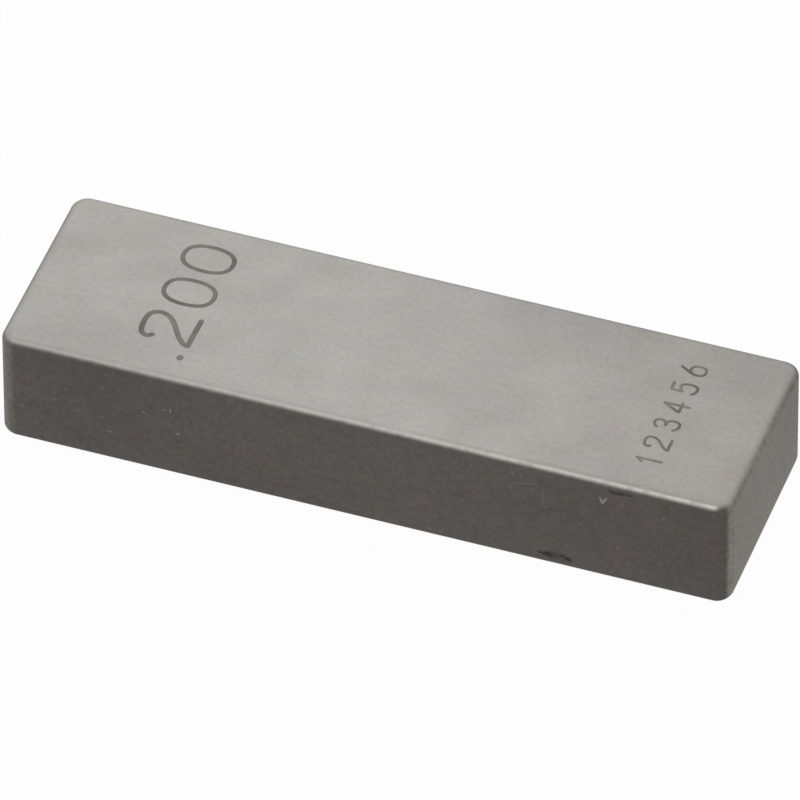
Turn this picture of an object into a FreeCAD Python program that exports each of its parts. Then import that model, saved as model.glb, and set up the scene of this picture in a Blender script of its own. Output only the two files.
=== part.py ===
import FreeCAD, Part
import os

# Rectangular gauge block of hardened tool steel, nominal size 0.200 inch, in one piece.
# Units are millimetres.  +X runs along the block, +Y across it and +Z up, from the lower
# measuring face to the upper one.  The origin is the middle of the lower measuring face.

MILLIMETRES_PER_INCH = 25.4

# Distance between the two lapped measuring faces: the size that the block stands for.
nominal_size_inches = 0.200

# Standard cross section of a rectangular block of up to 10 mm nominal size.
face_length = 30.0
face_width = 9.0

# The four upright corners are ground round, and then the edges of both measuring faces are
# broken all the way round, so that no burr can lift one block off another.
corner_radius = 0.7
edge_radius = 0.35

# Two shallow dents from knocks lie side by side on the front side, just above its lower edge.
# Each is placed by the distance of its middle from the right-hand end face.
dent_above_base = 0.61
dent_width = 0.20
dent_depth = 0.06
long_dent_length = 0.56
long_dent_from_end = 7.42
short_dent_length = 0.44
short_dent_from_end = 6.62

gauge_length = nominal_size_inches * MILLIMETRES_PER_INCH


def ground_blank():
    """The plain bar, centred on the origin and standing on its lower measuring face."""
    near_left = FreeCAD.Vector(-face_length / 2, -face_width / 2, 0)
    return Part.makeBox(face_length, face_width, gauge_length, near_left)


def round_corners(blank):
    """Rounds the four upright corners between the sides and the end faces."""
    upright = [edge for edge in blank.Edges if edge.BoundBox.ZLength > gauge_length / 2]
    return blank.makeFillet(corner_radius, upright)


def break_face_edges(blank):
    """Rounds the closed run of edges round each measuring face."""
    around_faces = [edge for edge in blank.Edges if edge.BoundBox.ZLength < edge_radius / 2]
    return blank.makeFillet(edge_radius, around_faces)


def arc_radius(chord, depth):
    """Radius of the circle whose arc over the given chord is the given depth."""
    return ((chord / 2) ** 2 + depth ** 2) / (2 * depth)


def dent(length, from_end):
    """The rounded rim that struck one dent into the front side, in the place where it struck.

    length is the dent's size along the block, and from_end the distance of its middle from
    the right-hand end face.
    """
    section_radius = arc_radius(dent_width, dent_depth)
    reach = arc_radius(length, dent_depth)
    rim = Part.makeTorus(reach - section_radius, section_radius)
    stand_off = reach - dent_depth
    middle = FreeCAD.Vector(face_length / 2 - from_end, -face_width / 2 - stand_off, dent_above_base)
    return rim.translated(middle)


def gauge_block():
    """The finished block: ground, rounded, and dented as it is after years of use."""
    lapped = break_face_edges(round_corners(ground_blank()))
    dents = [dent(long_dent_length, long_dent_from_end), dent(short_dent_length, short_dent_from_end)]
    return lapped.cut(dents).Solids[0]


os.makedirs("parts", exist_ok=True)
block = gauge_block()
block.exportStep("parts/gauge_block.step")
print(f"gauge_block: {block.Volume:.2f} mm3, {len(block.Faces)} faces, valid {block.isValid()}")
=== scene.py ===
"""A rectangular gauge block of hardened tool steel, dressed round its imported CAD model."""

import logging
import math
from dataclasses import dataclass, field, replace
from enum import Enum
from typing import NamedTuple

import bmesh
import bpy
from mathutils import Matrix, Vector
from mathutils.geometry import interpolate_bezier


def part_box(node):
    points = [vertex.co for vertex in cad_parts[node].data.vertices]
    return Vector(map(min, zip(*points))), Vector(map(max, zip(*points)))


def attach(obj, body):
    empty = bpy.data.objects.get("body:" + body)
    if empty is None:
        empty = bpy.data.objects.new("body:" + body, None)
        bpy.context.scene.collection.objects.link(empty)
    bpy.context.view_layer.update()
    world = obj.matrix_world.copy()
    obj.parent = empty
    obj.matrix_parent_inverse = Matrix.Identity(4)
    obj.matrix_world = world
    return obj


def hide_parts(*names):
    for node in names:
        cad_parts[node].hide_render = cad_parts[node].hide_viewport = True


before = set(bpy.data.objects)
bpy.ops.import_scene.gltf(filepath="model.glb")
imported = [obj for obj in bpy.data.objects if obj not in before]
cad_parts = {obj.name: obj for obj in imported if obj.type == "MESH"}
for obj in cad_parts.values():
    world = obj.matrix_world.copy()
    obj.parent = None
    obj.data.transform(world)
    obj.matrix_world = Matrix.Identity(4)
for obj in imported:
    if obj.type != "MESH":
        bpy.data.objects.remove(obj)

log = logging.getLogger("gauge_block")

MM = 0.001
CAD_NODE = "gauge_block"
FACING = "facing"

Point = tuple[float, float]
Triple = tuple[float, float, float]
Tree = bpy.types.NodeTree
Socket = bpy.types.NodeSocket

UP = Vector((0.0, 0.0, 1.0))
# Where the section stands down the round of a stroke's end, in degrees.
NOSE_ANGLES = (84, 66, 46, 24)
# How many points each rounded corner of a path gets.
DIGIT_STEPS = 10
SIDE_STEPS = 8


# ---------------------------------------------------------------- small helpers


def linear(colour: str) -> tuple[float, float, float, float]:
    """Turn an sRGB hex colour into linear red, green, blue and alpha.

    Args:
        colour: Six hex digits, such as "b3afaa".

    Returns:
        The four linear values that Blender's sockets take.
    """
    channels = [int(colour[i : i + 2], 16) / 255 for i in (0, 2, 4)]
    bent = [c / 12.92 if c <= 0.04045 else ((c + 0.055) / 1.055) ** 2.4 for c in channels]
    return (bent[0], bent[1], bent[2], 1.0)


def add(
    tree: Tree,
    kind: str,
    settings: dict[str, object] | None = None,
    links: dict[str | int, Socket] | None = None,
) -> bpy.types.Node:
    """Add one node with its settings and its incoming links.

    Args:
        tree: The node tree that gets the node.
        kind: The node's Blender type, without the ShaderNode in front.
        settings: Values by the name of a property or of an input socket.
        links: Output sockets of other nodes, by the name or number of the input they feed.

    Returns:
        The new node.
    """
    node = tree.nodes.new(f"ShaderNode{kind}")
    for name, value in (settings or {}).items():
        if hasattr(node, name):
            setattr(node, name, value)
        else:
            node.inputs[name].default_value = value
    for name, socket in (links or {}).items():
        tree.links.new(socket, node.inputs[name])
    return node


def new_material(name: str) -> tuple[bpy.types.Material, Tree]:
    """Make an empty node material.

    Args:
        name: The material's name.

    Returns:
        The material and its cleared node tree.
    """
    material = bpy.data.materials.new(name)
    material.use_nodes = True
    material.node_tree.nodes.clear()
    return material, material.node_tree


def mix(
    tree: Tree,
    share: Socket,
    first: Socket,
    second: Socket | str,
    blend: str = "MIX",
) -> Socket:
    """Mix two colours.

    Args:
        tree: The material's node tree.
        share: How much of the second there is, from 0 to 1.
        first: What is there at a share of 0.
        second: What is laid over it at a share of 1, as a socket or an sRGB colour.
        blend: How the second is laid over the first, by Blender's name.

    Returns:
        The mixed colour.
    """
    settings = {"data_type": "RGBA", "blend_type": blend}
    node = add(tree, "Mix", settings, {"Factor": share})
    under, over = [s for s in node.inputs if s.enabled and s.name in ("A", "B")]
    tree.links.new(first, under)
    if isinstance(second, str):
        over.default_value = linear(second)
    else:
        tree.links.new(second, over)
    return next(s for s in node.outputs if s.enabled)


def between(tree: Tree, share: Socket, first: Socket, second: Socket) -> Socket:
    """Blend two values.

    Args:
        tree: The material's node tree.
        share: How much of the second there is, from 0 to 1.
        first: The value at a share of 0.
        second: The value at a share of 1.

    Returns:
        The blended value.
    """
    ends = {"Value": share, "To Min": first, "To Max": second}
    return add(tree, "MapRange", links=ends).outputs["Result"]


# ---------------------------------------------------------------- finishes


class Curve(Enum):
    """How a ramp rises from its start to its stop."""

    STRAIGHT = "LINEAR"
    SOFT = "SMOOTHSTEP"


@dataclass(frozen=True)
class Ramp:
    """A rise from 0 to 1 between two values.

    Attributes:
        start: The value at which it is 0.
        stop: The value at which it is 1, which may be the lower one.
        curve: How it rises.
    """

    start: float
    stop: float
    curve: Curve = Curve.SOFT

    def over(self, tree: Tree, value: Socket) -> Socket:
        """Add the ramp over a value.

        Args:
            tree: The material's node tree.
            value: The value that it follows.

        Returns:
            The ramp, from 0 to 1.
        """
        settings = {
            "interpolation_type": self.curve.value,
            "From Min": self.start,
            "From Max": self.stop,
        }
        return add(tree, "MapRange", settings, {"Value": value}).outputs["Result"]


class Look(NamedTuple):
    """The colour and the roughness of a finish, as sockets of a material's nodes."""

    colour: Socket
    roughness: Socket


@dataclass(frozen=True)
class Relief:
    """How far a grain stands out of the steel.

    Attributes:
        strength: How much of it shows.
        height: Its height, in millimetres.
    """

    strength: float
    height: float

    def surface(
        self, tree: Tree, look: Look, grain: Socket, settings: dict[str, object]
    ) -> None:
        """Add the shader of a surface with this relief, and the material's output.

        Args:
            tree: The material's node tree.
            look: The surface's colour and roughness.
            grain: The noise that the relief follows.
            settings: What is even all over the surface.
        """
        depth = {"Strength": self.strength, "Distance": self.height * MM}
        bump = add(tree, "Bump", depth, {"Height": grain}).outputs["Normal"]
        links = {"Base Color": look.colour, "Roughness": look.roughness, "Normal": bump}
        shader = add(tree, "BsdfPrincipled", settings, links)
        add(tree, "OutputMaterial", links={"Surface": shader.outputs["BSDF"]})


@dataclass(frozen=True)
class Grain:
    """A noise that varies a finish, laid out in millimetres on the block.

    Attributes:
        size: How long one grain is along x, y and z, in millimetres.
        turn: How far the grain's long way is turned from x about z, in degrees.
        detail: How many finer octaves the noise has.
        strength: How far the grain moves the colour from its middle value.
    """

    size: Triple
    turn: float = 0.0
    detail: float = 2.0
    strength: float = 0.05

    def noise(self, tree: Tree, place: Socket) -> bpy.types.Node:
        """Add the noise texture.

        Args:
            tree: The material's node tree.
            place: Object coordinates in metres.

        Returns:
            The noise node, with its Fac and Color outputs.
        """
        turn = {"rotation_type": "Z_AXIS", "Angle": math.radians(-self.turn)}
        turned = add(tree, "VectorRotate", turn, {"Vector": place}).outputs["Vector"]
        scale = {"Scale": tuple(1 / (MM * s) for s in self.size)}
        scaled = add(tree, "Mapping", scale, {"Vector": turned}).outputs["Vector"]
        settings = {"Scale": 1.0, "Detail": self.detail, "Roughness": 0.65}
        return add(tree, "TexNoise", settings, {"Vector": scaled})

    def vary(self, tree: Tree, colour: Socket, place: Socket, hue: bool = False) -> Socket:
        """Vary a colour by the grain, round its own value.

        Args:
            tree: The material's node tree.
            colour: The colour to vary.
            place: Object coordinates in metres.
            hue: Whether red, green and blue vary apart from each other.

        Returns:
            The varied colour.
        """
        noise = self.noise(tree, place).outputs["Color" if hue else "Fac"]
        spread = add(tree, "VectorMath", {"operation": "MULTIPLY_ADD"}, {0: noise})
        spread.inputs[1].default_value = (2 * self.strength,) * 3
        spread.inputs[2].default_value = (1 - self.strength,) * 3
        both = {0: colour, 1: spread.outputs["Vector"]}
        return add(tree, "VectorMath", {"operation": "MULTIPLY"}, both).outputs["Vector"]


@dataclass(frozen=True)
class Patch:
    """A soft-edged patch that tints the steel.

    Attributes:
        centre: Middle of the patch, in millimetres.
        reach: How far it reaches from its middle along x, y and z, in millimetres.
        tint: sRGB colour that multiplies the steel at the middle of the patch.
    """

    centre: Triple
    reach: Triple
    tint: str

    def over(self, tree: Tree, colour: Socket, place: Socket) -> Socket:
        """Lay the patch over a colour.

        Args:
            tree: The material's node tree.
            colour: The colour below the patch.
            place: Object coordinates in metres.

        Returns:
            The colour with the patch on it.
        """
        settings = {
            "vector_type": "TEXTURE",
            "Location": tuple(MM * c for c in self.centre),
            "Scale": tuple(MM * r for r in self.reach),
        }
        centred = add(tree, "Mapping", settings, {"Vector": place}).outputs["Vector"]
        ball = add(tree, "TexGradient", {"gradient_type": "SPHERICAL"}, {"Vector": centred})
        soft = Ramp(0.0, 1.0).over(tree, ball.outputs["Fac"])
        return mix(tree, soft, colour, self.tint, "MULTIPLY")


@dataclass(frozen=True)
class Finish:
    """How one kind of face of the block was finished, and what that gives the eye.

    Attributes:
        colour: sRGB colour of the steel, which on the sides and ends also holds painted shade.
        hues: Soft patches in which the hue drifts.
        clouds: Soft patches in which the steel is lighter or darker.
        lay: The lines that the finishing stone left.
        grit: The fine, even speckle of the abrasive.
        flecks: Sparse specks where the steel is nicked or dirty.
        fleck_colour: sRGB colour of the flecks.
        roughness: Middle roughness of the surface.
        roughness_spread: How far the lay moves the roughness.
        fleck_edge: How the flecks come in over their noise.
    """

    colour: str
    hues: Grain
    clouds: Grain
    lay: Grain
    grit: Grain
    flecks: Grain
    fleck_colour: str
    roughness: float
    roughness_spread: float
    fleck_edge: Ramp = Ramp(0.69, 0.80)

    def look(self, tree: Tree, place: Socket) -> Look:
        """Add the nodes of the finish.

        Args:
            tree: The material's node tree.
            place: Object coordinates in metres.

        Returns:
            The finish's colour and roughness.
        """
        clean = add(tree, "RGB")
        clean.outputs["Color"].default_value = linear(self.colour)
        hued = self.hues.vary(tree, clean.outputs["Color"], place, hue=True)
        clouded = self.clouds.vary(tree, hued, place)
        lined = self.lay.vary(tree, clouded, place)
        speckled = self.grit.vary(tree, lined, place)
        flecks = self.fleck_edge.over(tree, self.flecks.noise(tree, place).outputs["Fac"])
        colour = mix(tree, flecks, speckled, self.fleck_colour)
        spread = {
            "To Min": self.roughness - self.roughness_spread,
            "To Max": self.roughness + self.roughness_spread,
        }
        lines = self.lay.noise(tree, place)
        roughness = add(tree, "MapRange", spread, {"Value": lines.outputs["Fac"]})
        return Look(colour, roughness.outputs["Result"])


@dataclass(frozen=True)
class BlockSteel:
    """Hardened tool steel of the block, lapped on the measuring faces and ground elsewhere.

    A lapped face is a satin mirror: it holds a pale, even sheen with faint clouds.  A ground
    side is duller, and the sides and ends hold painted shade: the long sides are painted much
    darker, the ends less so, as the light reaches them from the right.  On the broken edges one
    finish runs into the other.

    Attributes:
        name: The material's name.
        lapped: The two measuring faces.
        side: The two long sides.
        end: The two ends.
        tone_patches: Soft patches that darken the steel, most towards the back of the right
        end, and the brown round the dents.
        edge_tint: sRGB colour of the sheen at a grazing angle, which is duller than clean metal's.
        relief: How far the grit stands out.
    """

    name: str = "hardened_tool_steel"
    lapped: Finish = Finish(
        colour="b0ada9",
        hues=Grain((1.2, 0.8, 1.0), 18.0, 2.0, 0.05),
        clouds=Grain((3.4, 2.4, 3.0), 18.0, 1.0, 0.14),
        lay=Grain((1.0, 0.30, 1.0), 18.0, 2.0, 0.05),
        # Lapping grit is a few microns; drawn from 0.22 mm down, the finest that still shows.
        grit=Grain((0.22, 0.22, 0.22), 0.0, 2.5, 0.16),
        flecks=Grain((0.22, 0.22, 0.22), 0.0, 1.0),
        fleck_colour="9f9c97",
        roughness=0.32,
        roughness_spread=0.06,
    )
    # The long sides' colour is mostly painted shade: the ground steel is only a little duller, and is
    # drawn much darker where it faces away from the light.
    side: Finish = Finish(
        colour="605c59",
        hues=Grain((1.5, 0.8, 0.8), 0.0, 2.0, 0.09),
        clouds=Grain((4.0, 2.0, 2.0), 0.0, 2.0, 0.10),
        lay=Grain((0.9, 0.25, 0.25), 0.0, 2.0, 0.10),
        # Grinding grit is about 0.02 mm; drawn from 0.20 mm down, the finest that still shows.
        grit=Grain((0.20, 0.20, 0.20), 0.0, 2.5, 0.28),
        flecks=Grain((0.24, 0.24, 0.24), 0.0, 1.0),
        fleck_colour="6e6a66",
        roughness=0.46,
        roughness_spread=0.05,
    )
    # The ends' colour is painted shade too, lighter than the sides' because the light reaches the ends
    # from the right.
    end: Finish = Finish(
        colour="8b8780",
        hues=Grain((0.8, 1.5, 0.8), 0.0, 2.0, 0.11),
        clouds=Grain((2.0, 4.0, 2.0), 0.0, 2.0, 0.08),
        lay=Grain((0.25, 0.9, 0.25), 0.0, 2.0, 0.20),
        grit=Grain((0.20, 0.20, 0.20), 0.0, 2.5, 0.52),
        flecks=Grain((0.26, 0.26, 0.26), 0.0, 1.0),
        fleck_colour="98938c",
        roughness=0.44,
        roughness_spread=0.05,
    )
    tone_patches: tuple[Patch, ...] = (
        Patch((14.5, 4.5, 5.1), (15.0, 5.5, 9.0), "e8e8e8"),
        Patch((17.0, -2.0, 5.1), (19.0, 10.0, 9.0), "eeecea"),
        Patch((3.5, 4.4, 5.1), (7.0, 3.2, 9.0), "f2f3f6"),
        Patch((-11.5, -4.5, 5.1), (5.0, 3.0, 9.0), "f6f6f6"),
        Patch((8.0, -4.5, 0.6), (0.9, 1.0, 0.35), "dacfc6"),
    )
    # The finishes meet on the rounds: the lapped one by how level the steel faces, from 0 on the
    # measuring faces to 1 on the sides, and the end's by how far along x it faces.
    # As the sides and ends hold painted shade, these ramps paint it across the rounds; the left end
    # has ramps of its own, which paint the light on its corner and edges differently from the right
    # end's.
    side_edge: Ramp = Ramp(0.945, 0.56)
    end_edge: Ramp = Ramp(0.84, 0.32, Curve.STRAIGHT)
    left_edge: Ramp = Ramp(0.85, 0.42, Curve.STRAIGHT)
    right_edge: Ramp = Ramp(0.05, 0.60)
    right_corner: Ramp = Ramp(0.70, 0.895)
    left_corner: Ramp = Ramp(0.0, -1.0, Curve.STRAIGHT)
    # A darker band is painted where the lapping ends and the round begins: a painted reflection of a
    # dimmer part of the room, which the turning steel faces there.
    rim_shade_tint: str = "f5f5f5"
    rim_shade_edge: Ramp = Ramp(0.03, 0.20)
    # Painted shade darkens the stoned round where it runs into an end, and a painted highlight
    # brightens it along the front, more so towards the right.
    end_round_shade: Ramp = Ramp(-1.5, 1.0, Curve.STRAIGHT)
    front_edge_highlight: str = "c5c1bb"
    highlight_sparkle: Grain = Grain((0.5, 0.5, 0.5), 0.0, 3.0, 0.0)
    highlight_gaps: Ramp = Ramp(0.2, 0.55)
    highlight_front: Ramp = Ramp(-0.93, -1.0)
    highlight_inside: Ramp = Ramp(0.45, 0.62)
    highlight_outside: Ramp = Ramp(0.97, 0.66)
    highlight_along: Ramp = Ramp(-18.0 * MM, 15.0 * MM, Curve.STRAIGHT)
    edge_tint: str = "d8d8d8"
    relief: Relief = Relief(0.25, 0.004)

    def material(self) -> bpy.types.Material:
        """Make the material.

        Returns:
            The block's steel.
        """
        material, tree = new_material(self.name)
        place = add(tree, "TexCoord").outputs["Object"]
        on_end, on_lapped = self.shares(tree)
        side = self.side.look(tree, place)
        end = self.end.look(tree, place)
        lapped = self.lapped.look(tree, place)
        # The sides' and ends' colours carry their painted shade into the ground steel's colour.
        ground_and_shade_colour = mix(tree, on_end, side.colour, end.colour)
        plain = mix(tree, on_lapped, ground_and_shade_colour, lapped.colour)
        for tone_patch in self.tone_patches:
            plain = tone_patch.over(tree, plain, place)
        in_rim_shade = self.rim_shade_edge.over(tree, self.facing(tree).outputs["Z"])
        plain = mix(tree, in_rim_shade, plain, self.rim_shade_tint, "MULTIPLY")
        # The painted highlight along the front edge's round is laid over the steel.
        colour = mix(tree, self.painted_highlight(tree, place), plain, self.front_edge_highlight)
        ground_roughness = between(tree, on_end, side.roughness, end.roughness)
        roughness = between(tree, on_lapped, ground_roughness, lapped.roughness)
        grit = self.side.grit.noise(tree, place).outputs["Fac"]
        settings = {"Metallic": 1.0, "Specular Tint": linear(self.edge_tint)}
        self.relief.surface(tree, Look(colour, roughness), grit, settings)
        return material

    @staticmethod
    def facing(tree: Tree) -> bpy.types.Node:
        """Add the nodes that read the way that the block faces.

        Args:
            tree: The material's node tree.

        Returns:
            A node with the level direction as X and Y, and how level it is as Z.
        """
        facing = add(tree, "Attribute", {"attribute_name": FACING})
        return add(tree, "SeparateXYZ", links={"Vector": facing.outputs["Vector"]})

    def shares(self, tree: Tree) -> tuple[Socket, Socket]:
        """Add the nodes that tell the finishes apart by the way that the block faces.

        Args:
            tree: The material's node tree.

        Returns:
            The share of the end's finish in the ground steel, and the share of lapped steel.
        """
        split = self.facing(tree)
        level = split.outputs["Z"]
        right = self.right_corner.over(tree, split.outputs["X"])
        left = self.left_corner.over(tree, split.outputs["X"])
        corner = add(tree, "Math", {"operation": "MAXIMUM"}, {0: right, 1: left})
        end_shade_inputs = {0: corner.outputs["Value"], 1: self.end_round_shade.over(tree, level)}
        on_end = add(tree, "Math", {"operation": "MULTIPLY"}, end_shade_inputs).outputs["Value"]
        over_side = self.side_edge.over(tree, level)
        over_left = between(tree, left, over_side, self.left_edge.over(tree, level))
        round_right = self.right_edge.over(tree, split.outputs["X"])
        return on_end, between(tree, round_right, over_left, self.end_edge.over(tree, level))

    def painted_highlight(self, tree: Tree, place: Socket) -> Socket:
        """Add the nodes of the painted highlight along the round of the front edge.

        Args:
            tree: The material's node tree.
            place: Object coordinates in metres.

        Returns:
            The share of the painted highlight.
        """
        split = self.facing(tree)
        along = add(tree, "SeparateXYZ", links={"Vector": place}).outputs["X"]
        level = split.outputs["Z"]
        sparkle = self.highlight_sparkle.noise(tree, place).outputs["Fac"]
        share = self.highlight_along.over(tree, along)
        for factor in (
            self.highlight_inside.over(tree, level),
            self.highlight_outside.over(tree, level),
            self.highlight_gaps.over(tree, sparkle),
            self.highlight_front.over(tree, split.outputs["Y"]),
        ):
            both = {0: share, 1: factor}
            share = add(tree, "Math", {"operation": "MULTIPLY"}, both).outputs["Value"]
        return share


@dataclass(frozen=True)
class CutSurface:
    """Steel laid bare or burnt dark in a mark, a dent or a scratch.

    Attributes:
        name: The material's name.
        deep: sRGB colour at the bottom of the cut.
        pale: sRGB colour where the burn is thin.
        blotch: The patches in which the two alternate.
        metallic: How much of bare metal shows.
        roughness: Roughness of the cut.
        roughness_spread: How far the patches move the roughness.
        blotch_edges: Values of the noise at which the deep and the pale colour are full.
        relief: How far the patches stand out.
    """

    name: str
    deep: str
    pale: str
    blotch: Grain
    metallic: float
    roughness: float
    roughness_spread: float = 0.1
    blotch_edges: Point = (0.35, 0.65)
    relief: Relief = Relief(0.4, 0.006)

    def material(self) -> bpy.types.Material:
        """Make the material.

        Returns:
            The cut surface's material.
        """
        material, tree = new_material(self.name)
        place = add(tree, "TexCoord").outputs["Object"]
        noise = self.blotch.noise(tree, place).outputs["Fac"]
        ramp = add(tree, "ValToRGB", links={"Fac": noise})
        stops = zip(ramp.color_ramp.elements, self.blotch_edges, (self.deep, self.pale))
        for stop, position, colour in stops:
            stop.position = position
            stop.color = linear(colour)
        spread = {
            "To Min": self.roughness - self.roughness_spread,
            "To Max": self.roughness + self.roughness_spread,
        }
        rough = add(tree, "MapRange", spread, {"Value": noise})
        look = Look(ramp.outputs["Color"], rough.outputs["Result"])
        self.relief.surface(tree, look, noise, {"Metallic": self.metallic})
        return material


class Cut(Enum):
    """What a surface of the block is, which settles its material slot."""

    STEEL = 0
    ETCHED = 1
    DENT = 2
    SCRATCH = 3
    NICK = 4


# ---------------------------------------------------------------- cuts


@dataclass(frozen=True)
class Stroke:
    """One stroke of a round-nosed tool, as the legs that its smooth path is drawn to.

    The path runs through the middle of every inner leg and is rounded at every inner point, so
    that a closed stroke round the corners of a rectangle is an oval.

    Attributes:
        points: Corners of the legs, across and up, in the glyph's own units.
        closed: Whether the last point leads back to the first.
    """

    points: tuple[Point, ...]
    closed: bool = False

    def path(self, steps: int) -> list[Vector]:
        """Work out the points of the smooth path.

        Args:
            steps: How many points each rounded corner gets.

        Returns:
            The path's points, in order, without repeats.
        """
        corners = [Vector((u, v, 0.0)) for u, v in self.points]
        if len(corners) == 2:
            return corners
        ring = [corners[-1], *corners, corners[0]] if self.closed else corners
        middles = [(a + b) / 2 for a, b in zip(ring, ring[1:])]
        if not self.closed:
            middles[0], middles[-1] = ring[0], ring[-1]
        path: list[Vector] = []
        for start, corner, end in zip(middles, ring[1:-1], middles[1:]):
            handles = (start.lerp(corner, 2 / 3), end.lerp(corner, 2 / 3))
            path += interpolate_bezier(start, handles[0], handles[1], end, steps)[:-1]
        if not self.closed:
            path.append(middles[-1])
        return path


@dataclass(frozen=True)
class Tool:
    """The round-nosed section that a stroke sweeps along its path.

    Attributes:
        width: Width of the cut at the surface, in millimetres.
        depth: Depth of the cut, in millimetres.
        sides: How many sides the section has.
        flare: How much wider the section is than the cut, so that its walls stand steep.
    """

    width: float
    depth: float
    sides: int = 16
    flare: float = 1.08

    def half_width(self) -> float:
        """Work out half the section's width.

        Returns:
            The half width at its widest, in millimetres.
        """
        return self.width / 2 * self.flare

    def half_height(self) -> float:
        """Work out half the section's height.

        Returns:
            The half height, in millimetres.
        """
        return self.depth / (1 - math.sqrt(1 - 1 / self.flare**2))

    def lift(self) -> float:
        """Work out how far the section's middle lies above the surface.

        Returns:
            The height, in millimetres.
        """
        return self.half_height() - self.depth

    def sweep(
        self,
        mesh: bmesh.types.BMesh,
        path: list[Vector],
        closed: bool,
        onto_face: Matrix,
        kind: Cut,
    ) -> None:
        """Sweep the section along a path, with round ends where the path is open.

        Args:
            mesh: The bmesh that gets the swept shape.
            path: Points of the path, in millimetres, on a plane whose normal is +z.
            closed: Whether the path leads back to its start.
            onto_face: What brings that plane onto a face of the block.
            kind: What the cut is, which gives its faces their material.
        """
        stations = [onto_face @ station for station in self.stations(path, closed)]
        ring = bmesh.ops.create_circle(mesh, segments=self.sides, radius=1.0)["verts"]
        bmesh.ops.transform(mesh, matrix=stations[0], verts=ring)
        first = edges = list({e for v in ring for e in v.link_edges})
        faces: list[bmesh.types.BMFace] = []
        for before, station in zip(stations, stations[1:]):
            made = bmesh.ops.extrude_edge_only(mesh, edges=edges)["geom"]
            ring = [part for part in made if isinstance(part, bmesh.types.BMVert)]
            faces += [part for part in made if isinstance(part, bmesh.types.BMFace)]
            edges = [
                part
                for part in made
                if isinstance(part, bmesh.types.BMEdge) and set(part.verts) <= set(ring)
            ]
            bmesh.ops.transform(mesh, matrix=station @ before.inverted(), verts=ring)
        if closed:
            faces += bmesh.ops.bridge_loops(mesh, edges=first + edges)["faces"]
        else:
            for loop in (first, edges):
                faces += bmesh.ops.contextual_create(mesh, geom=loop)["faces"]
        bmesh.ops.recalc_face_normals(mesh, faces=faces)
        for face in faces:
            face.material_index = kind.value

    def stations(self, path: list[Vector], closed: bool) -> list[Matrix]:
        """Place the section at each point of a path and down the round of each open end.

        Args:
            path: Points on the surface, in millimetres.
            closed: Whether the path leads back to its start.

        Returns:
            One matrix for each place of a circle of radius 1 in the xy plane.
        """
        count = len(path)
        placed: list[Matrix] = []
        for i, point in enumerate(path):
            back = path[i - 1] if (i or closed) else path[0]
            ahead = path[(i + 1) % count] if (i < count - 1 or closed) else path[-1]
            placed.append(self.place(point, (ahead - back).normalized(), 1.0))
        if closed:
            return placed
        run_in = (path[1] - path[0]).normalized()
        run_out = (path[-1] - path[-2]).normalized()
        slopes = [math.radians(a) for a in NOSE_ANGLES]
        nose = [
            self.place(path[0] - run_in * self.half_width() * math.sin(a), run_in, math.cos(a))
            for a in slopes
        ]
        tail = [
            self.place(path[-1] + run_out * self.half_width() * math.sin(a), run_out, math.cos(a))
            for a in reversed(slopes)
        ]
        return [*nose, *placed, *tail]

    def place(self, point: Vector, heading: Vector, share: float) -> Matrix:
        """Stand the section across a heading.

        Args:
            point: Where its middle is, seen from above.
            heading: Which way the stroke runs there.
            share: Its size as a share of the full section.

        Returns:
            The matrix for a circle of radius 1 in the xy plane.
        """
        turn = Matrix((UP.cross(heading), UP, heading)).transposed().to_4x4()
        size = Matrix.Diagonal((self.half_width() * share, self.half_height() * share, 1.0, 1.0))
        return Matrix.Translation(point + UP * self.lift()) @ turn @ size


OVAL = ((-1.0, -1.0), (-1.0, 1.0), (1.0, 1.0), (1.0, -1.0))

# Each digit is drawn on a body 1 high and about 0.7 wide, with its baseline at 0.
DIGITS: dict[str, tuple[Stroke, ...]] = {
    ".": (Stroke(((-0.012, 0.01), (0.012, 0.01))),),
    "0": (Stroke(tuple((0.34 * u, 0.5 + 0.495 * v) for u, v in OVAL), closed=True),),
    "1": (Stroke(((-0.16, 0.76), (0.03, 0.96), (0.06, 1.04), (0.06, 0.9), (0.06, 0.0))),),
    "2": (
        Stroke(
            (
                (-0.30, 0.735),
                (-0.40, 0.83),
                (-0.24, 1.015),
                (0.325, 1.015),
                (0.34, 0.58),
                (-0.27, 0.21),
                (-0.41, -0.02),
                (-0.32, 0.0),
                (0.36, 0.0),
            )
        ),
    ),
    "3": (
        Stroke(((-0.28, 0.86), (-0.18, 1.0), (0.27, 1.0), (0.27, 0.56), (-0.06, 0.55))),
        Stroke(((-0.06, 0.54), (0.33, 0.56), (0.33, 0.0), (-0.2, 0.0), (-0.32, 0.18))),
    ),
    "4": (
        Stroke(
            (
                (0.13, 0.0),
                (0.13, 0.9),
                (0.13, 1.02),
                (0.06, 0.92),
                (-0.3, 0.38),
                (-0.36, 0.29),
                (-0.26, 0.29),
                (0.32, 0.29),
            )
        ),
    ),
    "5": (
        Stroke(((0.27, 1.0), (-0.12, 1.0), (-0.22, 1.0), (-0.23, 0.9), (-0.26, 0.55))),
        Stroke(((-0.26, 0.56), (-0.1, 0.68), (0.33, 0.66), (0.33, 0.0), (-0.2, 0.0), (-0.32, 0.16))),
    ),
    "6": (
        Stroke(tuple((0.32 * u, 0.31 + 0.31 * v) for u, v in OVAL), closed=True),
        Stroke(((-0.3, 0.36), (-0.3, 0.5), (-0.02, 0.86), (0.08, 1.0))),
    ),
}


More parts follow.
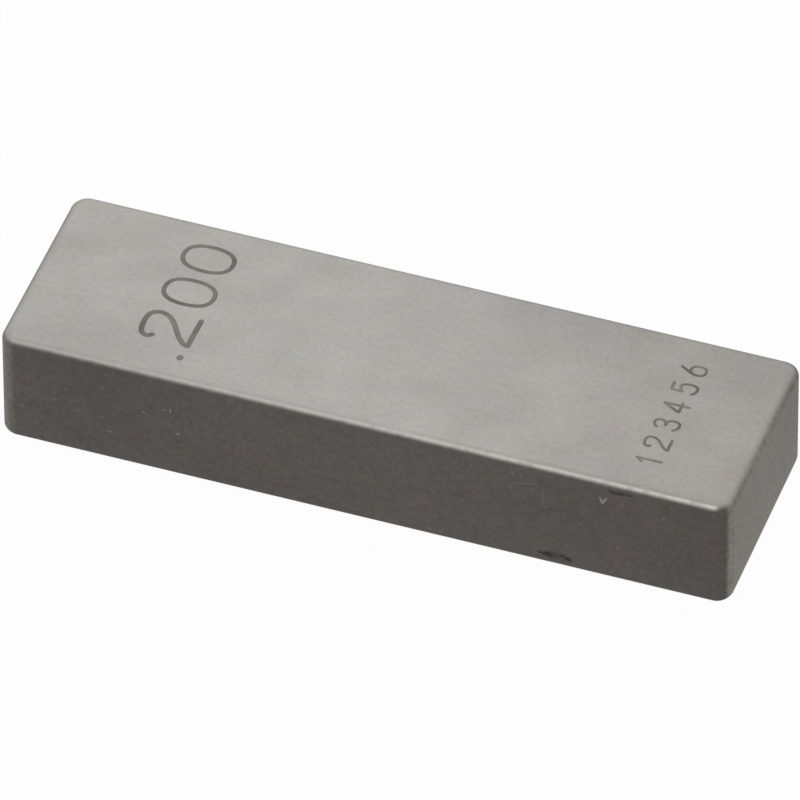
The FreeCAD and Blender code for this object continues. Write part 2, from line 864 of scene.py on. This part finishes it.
@dataclass(frozen=True)
class Marking:
    """A line of digits etched into the upper measuring face, read along +y.

    Attributes:
        text: What it says.
        centres: Middle of each digit along y, in millimetres.
        baseline: Where the digits stand along x, in millimetres; they rise towards -x.
        height: Height of the digits between the middles of their strokes, in millimetres.
        stretch: Width of the digits as a share of the drawn width.
        tool: The section of the stroke.
        weights: Width of each digit's stroke as a share of the tool's.
        tilt: How far the line drifts from y, in degrees.
    """

    text: str
    centres: tuple[float, ...]
    baseline: float
    height: float
    stretch: float
    tool: Tool
    weights: tuple[float, ...]
    tilt: float = 0.0

    def add_to(self, cutter: bmesh.types.BMesh, face: float) -> None:
        """Add the digits to the cutter.

        Args:
            cutter: The cutter, in millimetres.
            face: Height of the measuring face, in millimetres.
        """
        upright = Matrix(((0, -1, 0), (1, 0, 0), (0, 0, 1))).to_4x4()
        line = Matrix.Rotation(math.radians(self.tilt), 4, "Z")
        onto_face = Matrix.Translation((self.baseline, 0.0, face)) @ line @ upright
        size = Matrix.Diagonal((self.height * self.stretch, self.height, 1.0))
        for digit, centre, weight in zip(self.text, self.centres, self.weights):
            tool = replace(self.tool, width=self.tool.width * weight)
            for stroke in DIGITS[digit]:
                middle = Vector((centre, 0.0, 0.0))
                path = [size @ point + middle for point in stroke.path(DIGIT_STEPS)]
                tool.sweep(cutter, path, stroke.closed, onto_face, Cut.ETCHED)


@dataclass(frozen=True)
class SideCut:
    """A dent or a scratch in the front side of the block.

    Attributes:
        points: Where it runs: how far from the right end and how far above the base, in
            millimetres.
        tool: Its section.
        kind: What it leaves in the steel.
    """

    points: tuple[Point, ...]
    tool: Tool
    kind: Cut

    def add_to(self, cutter: bmesh.types.BMesh, corner: Vector) -> None:
        """Add the dent or scratch to the cutter.

        Args:
            cutter: The cutter, in millimetres.
            corner: The lower right corner of the front side, in millimetres.
        """
        upright = Matrix(((-1, 0, 0), (0, 0, -1), (0, 1, 0))).to_4x4()
        onto_side = Matrix.Translation(corner) @ upright
        path = Stroke(self.points).path(SIDE_STEPS)
        self.tool.sweep(cutter, path, False, onto_side, self.kind)


SIDE_CUTS = (
    # The two dents near the base, each a run of pecks.
    SideCut(((7.74, 0.61), (7.60, 0.59), (7.50, 0.585)), Tool(0.11, 0.035), Cut.DENT),
    SideCut(((7.50, 0.585), (7.38, 0.575), (7.26, 0.565)), Tool(0.20, 0.06), Cut.DENT),
    SideCut(((7.42, 0.66), (7.36, 0.665), (7.30, 0.66)), Tool(0.10, 0.04), Cut.DENT),
    SideCut(((6.80, 0.68), (6.64, 0.61), (6.44, 0.50)), Tool(0.10, 0.04), Cut.DENT),
    SideCut(((6.62, 0.58), (6.56, 0.565), (6.50, 0.55)), Tool(0.14, 0.05), Cut.DENT),
    # A rub under the upper edge, and light scratches.
    SideCut(((4.90, 4.67), (4.45, 4.69), (3.95, 4.70)), Tool(0.10, 0.010), Cut.DENT),
    SideCut(((4.72, 4.65), (4.55, 4.66), (4.38, 4.67)), Tool(0.16, 0.020), Cut.DENT),
    SideCut(((5.24, 4.21), (5.17, 3.96), (5.15, 3.96), (5.01, 4.24)), Tool(0.11, 0.02), Cut.NICK),
    SideCut(((8.74, 3.91), (8.20, 4.07), (7.72, 4.17)), Tool(0.06, 0.005), Cut.SCRATCH),
    SideCut(((7.60, 4.00), (7.56, 3.70), (7.58, 3.10)), Tool(0.06, 0.005), Cut.SCRATCH),
    SideCut(((22.86, 3.48), (22.87, 3.41), (22.86, 3.32)), Tool(0.07, 0.01), Cut.NICK),
    SideCut(((22.62, 2.28), (22.57, 2.30), (22.51, 2.27)), Tool(0.07, 0.01), Cut.NICK),
    SideCut(((24.02, 3.00), (23.98, 3.01), (23.92, 2.98)), Tool(0.06, 0.01), Cut.NICK),
    SideCut(((23.14, 3.41), (23.07, 3.40), (23.02, 3.38)), Tool(0.05, 0.01), Cut.NICK),
    SideCut(((25.46, 1.58), (25.40, 1.56), (25.34, 1.55)), Tool(0.06, 0.01), Cut.NICK),
)


def as_object(
    mesh: bmesh.types.BMesh, name: str, materials: list[bpy.types.Material]
) -> bpy.types.Object:
    """Turn a bmesh into an object of the scene.

    Args:
        mesh: The bmesh, which is freed.
        name: The object's name.
        materials: The materials of its slots, in order.

    Returns:
        The new object.
    """
    data = bpy.data.meshes.new(name)
    mesh.to_mesh(data)
    mesh.free()
    for material in materials:
        data.materials.append(material)
    made = bpy.data.objects.new(name, data)
    bpy.context.scene.collection.objects.link(made)
    return made


# ---------------------------------------------------------------- the block


@dataclass
class GaugeBlock:
    """The block: one piece of steel with its marks, dents and scratches.

    Attributes:
        corner_radius: Radius of the four upright corners, in millimetres.
        edge_radius: Radius of the edges of the measuring faces, in millimetres.
        corner_segments: How many facets an upright corner gets.
        edge_segments: How many facets an edge gets.
        lower_wear: How much larger wear has made the lower round of the right end, as a share.
        size_mark: The nominal size, in inches.
        serial_mark: The serial number.
        steel: The steel of the whole block.
        etched: The marks, burnt to a matt grey.
        rust: The dents and the rub, which hold dark rust.
        rubbed: Old scratches, hardly paler than the ground side.
        bright: Fresh nicks, in which the bare steel glints.
    """

    corner_radius: float = 0.7
    edge_radius: float = 0.35
    corner_segments: int = 14
    edge_segments: int = 10
    lower_wear: float = 0.8
    size_mark: Marking = field(
        default_factory=lambda: Marking(
            text=".200",
            centres=(-3.22, -1.73, 0.40, 2.44),
            baseline=-7.808,
            height=2.07,
            stretch=1.0,
            tool=Tool(0.21, 0.028),
            weights=(1.35, 1.07, 0.92, 0.92),
            tilt=-1.37,
        )
    )
    serial_mark: Marking = field(
        default_factory=lambda: Marking(
            text="123456",
            centres=(-2.77, -1.72, -0.62, 0.46, 1.56, 2.66),
            baseline=11.63,
            height=0.99,
            stretch=0.80,
            tool=Tool(0.125, 0.02),
            weights=(1.0,) * 6,
        )
    )
    steel: BlockSteel = BlockSteel()
    etched: CutSurface = CutSurface(
        "laser_etched_steel", "6b6762", "8b8781", Grain((1.1, 1.1, 1.1), 0.0, 4.0), 0.6, 0.55
    )
    rust: CutSurface = CutSurface(
        "rusted_dent", "1e1d19", "3d362f", Grain((0.2, 0.2, 0.2), 0.0, 3.0), 0.1, 0.7
    )
    rubbed: CutSurface = CutSurface(
        "faint_scratch", "5a5855", "686663", Grain((0.3, 0.3, 0.3), 0.0, 2.0), 1.0, 0.42
    )
    bright: CutSurface = CutSurface(
        "fresh_nick", "736d69", "85807b", Grain((0.3, 0.3, 0.3), 0.0, 2.0), 1.0, 0.42
    )

    def __post_init__(self) -> None:
        """Read the block's box from the frame, in millimetres."""
        low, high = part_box(CAD_NODE)
        self.low = Vector(low) / MM
        self.high = Vector(high) / MM

    def build(self) -> bpy.types.Object:
        """Build the block, cut its marks and dress it.

        Returns:
            The finished piece.
        """
        materials = self.materials()
        blank = as_object(self.blank(), "blank", materials)
        cutter = as_object(self.cutter(), "cutter", materials)
        cut = blank.modifiers.new("cuts", "BOOLEAN")
        cut.object = cutter
        cut.solver = "EXACT"
        cut.material_mode = "INDEX"
        cut.use_self = True
        piece = self.cut_piece(blank, cutter)
        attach(piece, "root")
        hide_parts(CAD_NODE)
        return piece

    def materials(self) -> list[bpy.types.Material]:
        """Make the block's materials.

        Returns:
            The materials, in the order of their slots.
        """
        finishes = {
            Cut.STEEL: self.steel,
            Cut.ETCHED: self.etched,
            Cut.DENT: self.rust,
            Cut.SCRATCH: self.rubbed,
            Cut.NICK: self.bright,
        }
        return [finishes[kind].material() for kind in Cut]

    def cutter(self) -> bmesh.types.BMesh:
        """Sweep everything that is cut into the block, as one shape.

        Returns:
            The cutter, in millimetres.
        """
        mesh = bmesh.new()
        self.size_mark.add_to(mesh, self.high.z)
        self.serial_mark.add_to(mesh, self.high.z)
        corner = Vector((self.high.x, self.low.y, self.low.z))
        for cut in SIDE_CUTS:
            cut.add_to(mesh, corner)
        return mesh

    def blank(self) -> bmesh.types.BMesh:
        """Grind the plain block with its rounded corners and edges.

        Returns:
            The blank, in millimetres.
        """
        mesh = bmesh.new()
        bmesh.ops.create_cube(mesh, size=1.0)
        bmesh.ops.scale(mesh, vec=self.high - self.low, verts=mesh.verts)
        bmesh.ops.translate(mesh, vec=(self.high + self.low) / 2, verts=mesh.verts)
        upright = [e for e in mesh.edges if abs(e.verts[0].co.z - e.verts[1].co.z) > 1.0]
        self.bevel(mesh, upright, self.corner_radius, self.corner_segments)
        rims = [e for e in mesh.edges if abs(e.verts[0].co.z - e.verts[1].co.z) < 1e-4]
        self.bevel(mesh, rims, self.edge_radius, self.edge_segments)
        return mesh

    @staticmethod
    def bevel(
        mesh: bmesh.types.BMesh, edges: list[bmesh.types.BMEdge], radius: float, segments: int
    ) -> None:
        """Round some edges.

        Args:
            mesh: The bmesh.
            edges: The edges to round.
            radius: The radius, in millimetres.
            segments: How many facets each round gets.
        """
        bmesh.ops.bevel(
            mesh,
            geom=edges,
            offset=radius,
            offset_type="OFFSET",
            affect="EDGES",
            segments=segments,
            profile=0.5,
            clamp_overlap=False,
            material=-1,
        )

    def cut_piece(self, blank: bpy.types.Object, cutter: bpy.types.Object) -> bpy.types.Object:
        """Apply the cuts and bring the block to metres.

        Args:
            blank: The blank with its cuts as a modifier.
            cutter: The cutter, which is removed.

        Returns:
            The block, in metres.
        """
        depsgraph = bpy.context.evaluated_depsgraph_get()
        data = bpy.data.meshes.new_from_object(blank.evaluated_get(depsgraph))
        for spare in (blank, cutter):
            bpy.data.objects.remove(spare)
        data.name = "block"
        normals = self.mark_facing(data)
        self.wear(data)
        data.transform(Matrix.Scale(MM, 4))
        data.shade_smooth()
        self.mark_sharp(data)
        data.normals_split_custom_set(normals)
        piece = bpy.data.objects.new("lapped_block", data)
        bpy.context.scene.collection.objects.link(piece)
        return piece

    def wear(self, data: bpy.types.Mesh) -> None:
        """Rub the lower round of the right end rounder, most towards the back.

        Args:
            data: The block's mesh, in millimetres.
        """
        reach = self.edge_radius + 1e-4
        for vertex in data.vertices:
            place = vertex.co
            inner = self.inner(place)
            out = place.xy - inner
            inset = self.corner_radius - out.length
            if inset > reach or place.z - self.low.z > reach:
                continue
            outward = out.normalized()
            across = (place.y - self.low.y) / (self.high.y - self.low.y)
            growth = 1 + self.lower_wear * (0.15 + across) * max(0.0, outward.x) ** 2
            level = inner + outward * (self.corner_radius - inset * growth)
            vertex.co = (level.x, level.y, self.low.z + (place.z - self.low.z) * growth)

    def inner(self, point: Vector) -> Vector:
        """Find the nearest point of the block's plan that no corner's round reaches.

        Args:
            point: The point, in millimetres.

        Returns:
            Its x and y, in millimetres.
        """
        return Vector(
            [
                min(max(point[i], self.low[i] + self.corner_radius), self.high[i] - self.corner_radius)
                for i in (0, 1)
            ]
        )

    def mark_facing(self, data: bpy.types.Mesh) -> list[Vector]:
        """Note on each point which way the uncut block faces there.

        Args:
            data: The block's mesh, in millimetres, which gets the attribute.

        Returns:
            A normal for each face corner, which is none in a cut.
        """
        facing = data.attributes.new(FACING, "FLOAT_VECTOR", "POINT")
        true = [self.normal(v.co) for v in data.vertices]
        for slot, normal in zip(facing.data, true):
            level = normal.xy.length
            along = normal.xy / level if level > 0.01 else Vector((0.0, 0.0))
            slot.vector = (along.x, along.y, level)
        return [
            true[data.loops[i].vertex_index] if face.material_index == Cut.STEEL.value else Vector()
            for face in data.polygons
            for i in face.loop_indices
        ]

    def normal(self, point: Vector) -> Vector:
        """Give the normal of the uncut block at a point of its surface.

        Args:
            point: The point, in millimetres.

        Returns:
            The unit normal.
        """
        middle = (self.high.z + self.low.z) / 2
        flat = (self.high.z - self.low.z) / 2 - self.edge_radius
        rise = point.z - middle
        upward = min(1.0, max(0.0, abs(rise) - flat) / self.edge_radius)
        level = point.xy - self.inner(point)
        level = level.normalized() if level.length > 1e-6 else Vector((0.0, 0.0))
        if upward > 0.9999:
            level = Vector((0.0, 0.0))
            upward = 1.0
        slope = math.sqrt(1 - upward**2)
        return Vector((level.x * slope, level.y * slope, math.copysign(upward, rise))).normalized()

    def mark_sharp(self, data: bpy.types.Mesh) -> None:
        """Mark the rims of the cuts as sharp edges.

        Args:
            data: The block's mesh.
        """
        mesh = bmesh.new()
        mesh.from_mesh(data)
        for edge in mesh.edges:
            edge.smooth = len({face.material_index for face in edge.link_faces}) < 2
        mesh.to_mesh(data)
        mesh.free()


# ---------------------------------------------------------------- the studio


@dataclass
class Studio:
    """Pale floor, soft light and camera.

    Attributes:
        azimuth: Where the camera stands round the block, in degrees.
        elevation: How high it stands, in degrees.
        roll: How far it is turned about its own line of sight, in degrees.
        distance: How far it stands from the block, in metres.
        lens: Focal length on a 36 mm sensor, in millimetres.
        aim: What lies at the middle of the view, right and up of the block's middle, in metres.
        floor_colour: sRGB colour of the paper on the floor.
        floor_size: Length of its sides, in metres.
        floor_lift: Share of plain white in what is seen of the floor; the rest keeps the shadow.
        sky_light: How much light the world gives.
        softbox_place: Where the softbox hangs, in metres.
        softbox_size: Length of its sides, in metres.
        softbox_power: Its power, in watts.
    """

    azimuth: float = 19.61
    elevation: float = 42.75
    roll: float = -0.27
    distance: float = 0.6697
    lens: float = 775.4
    aim: Point = (0.00001, -0.00007)
    floor_colour: str = "fafafa"
    floor_size: float = 4.0
    floor_lift: float = 0.95
    sky_light: float = 0.84
    softbox_place: Triple = (-0.20, -0.78, 1.26)
    softbox_size: float = 1.0
    softbox_power: float = 0.3

    def build(self) -> None:
        """Set up the floor, the world, the softbox and the camera."""
        bpy.context.scene.view_settings.view_transform = "Standard"
        self.floor()
        self.world()
        self.softbox()
        self.camera()

    def floor(self) -> None:
        """Lay the floor, which keeps the block's soft shadow."""
        mesh = bmesh.new()
        bmesh.ops.create_grid(mesh, x_segments=1, y_segments=1, size=self.floor_size / 2)
        bmesh.ops.translate(mesh, vec=(0, 0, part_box(CAD_NODE)[0][2]), verts=mesh.verts)
        data = bpy.data.meshes.new("floor")
        mesh.to_mesh(data)
        mesh.free()
        floor = bpy.data.objects.new("floor", data)
        bpy.context.scene.collection.objects.link(floor)
        material, tree = new_material("white_paper")
        paper = add(tree, "BsdfDiffuse", {"Color": linear(self.floor_colour)})
        glow = add(tree, "Emission", {"Strength": 1.0})
        lifted = add(tree, "Math", {"operation": "MULTIPLY"}, {0: self.seen(tree)})
        lifted.inputs[1].default_value = self.floor_lift
        shades = {0: lifted.outputs["Value"], 1: paper.outputs["BSDF"], 2: glow.outputs["Emission"]}
        both = add(tree, "MixShader", links=shades)
        add(tree, "OutputMaterial", links={"Surface": both.outputs["Shader"]})
        data.materials.append(material)

    @staticmethod
    def seen(tree: Tree) -> Socket:
        """Add the nodes that tell what is seen, in the camera or in steel, from what only lights.

        Args:
            tree: The node tree of the floor or of the world.

        Returns:
            1 for a ray that sees the surface and 0 for one that gathers its light.
        """
        path = add(tree, "LightPath")
        rays = {0: path.outputs["Is Camera Ray"], 1: path.outputs["Is Glossy Ray"]}
        direct = add(tree, "Math", {"operation": "MAXIMUM"}, rays)
        rays = {0: direct.outputs["Value"], 1: path.outputs["Is Transmission Ray"]}
        return add(tree, "Math", {"operation": "MAXIMUM"}, rays).outputs["Value"]

    def world(self) -> None:
        """Wrap the studio in an even pale light."""
        world = bpy.data.worlds.new("studio")
        bpy.context.scene.world = world
        world.use_nodes = True
        tree = world.node_tree
        tree.nodes.clear()
        light = add(tree, "Background", {"Color": (1, 1, 1, 1), "Strength": self.sky_light})
        white = add(tree, "Background", {"Color": (1, 1, 1, 1), "Strength": 1.0})
        shades = {0: self.seen(tree), 1: light.outputs["Background"], 2: white.outputs["Background"]}
        both = add(tree, "MixShader", links=shades)
        add(tree, "OutputWorld", links={"Surface": both.outputs["Shader"]})

    def softbox(self) -> None:
        """Hang the square softbox, which points at the block."""
        data = bpy.data.lights.new("key_softbox", "AREA")
        data.shape = "SQUARE"
        data.size = self.softbox_size
        data.energy = self.softbox_power
        lamp = bpy.data.objects.new("key_softbox", data)
        lamp.location = self.softbox_place
        lamp.rotation_mode = "QUATERNION"
        lamp.rotation_quaternion = (-Vector(self.softbox_place)).to_track_quat("-Z", "Y")
        lamp.visible_camera = False
        bpy.context.scene.collection.objects.link(lamp)

    def camera(self) -> None:
        """Stand the camera in front of the block."""
        low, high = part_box(CAD_NODE)
        centre = (Vector(low) + Vector(high)) / 2
        turn = math.radians(self.azimuth)
        lift = math.radians(self.elevation)
        back = Vector(
            (
                math.sin(turn) * math.cos(lift),
                -math.cos(turn) * math.cos(lift),
                math.sin(lift),
            )
        )
        level = Vector((math.cos(turn), math.sin(turn), 0.0))
        up = back.cross(level)
        roll = math.radians(self.roll)
        right = level * math.cos(roll) + up * math.sin(roll)
        top = up * math.cos(roll) - level * math.sin(roll)
        data = bpy.data.cameras.new("camera")
        data.sensor_width = 36.0
        data.lens = self.lens
        data.clip_start = 0.05
        data.clip_end = 20.0
        camera = bpy.data.objects.new("camera", data)
        axes = Matrix((right, top, back)).transposed().to_4x4()
        aim = centre - right * self.aim[0] + top * self.aim[1]
        camera.matrix_world = Matrix.Translation(aim + back * self.distance) @ axes
        bpy.context.scene.collection.objects.link(camera)
        bpy.context.scene.camera = camera


# ---------------------------------------------------------------- all of it


def main() -> None:
    """Build the block and its studio."""
    logging.basicConfig(level=logging.INFO, format="%(name)s: %(message)s")
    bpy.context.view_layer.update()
    piece = GaugeBlock().build()
    log.info("%s has %d faces", piece.name, len(piece.data.polygons))
    Studio().build()
    log.info("studio is lit")


if __name__ == "__main__":
    main()
